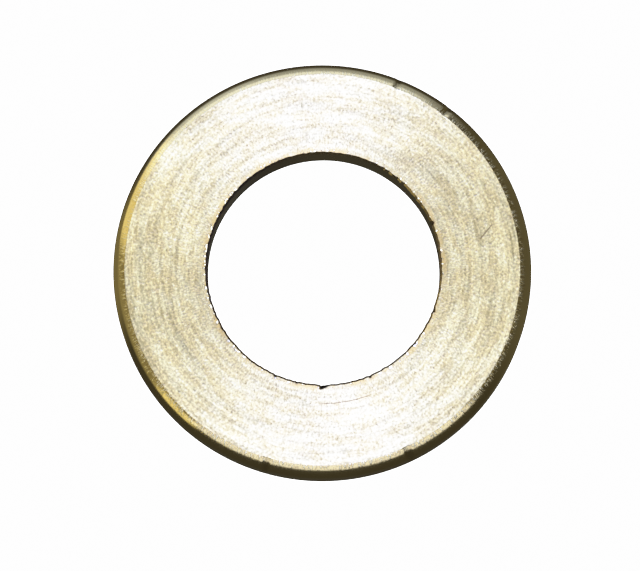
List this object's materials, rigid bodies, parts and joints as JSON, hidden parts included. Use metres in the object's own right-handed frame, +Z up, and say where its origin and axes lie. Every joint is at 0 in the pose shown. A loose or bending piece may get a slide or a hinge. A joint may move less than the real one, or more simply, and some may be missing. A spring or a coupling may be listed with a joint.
{
  "type": "flat washer",
  "caption": "Plain round flat washer with turned faces, a broad round outer edge on one face and a clearance bore, to spread the load of a bolt or nut.",
  "frame": {"origin": "centre of the lower face, on the axis of the bore", "axes": "+Z up along the axis of the bore; the ring is round, so X and Y are any two directions across it"},
  "size_m": [0.0237, 0.0236, 0.0025],
  "materials": {
    "turned_brass": "faces turned to fine concentric rings, smooth rim and edges, lightly worn"
  },
  "bodies": {
    "root": {"washer": "turned_brass"}
  },
  "joints": []
}
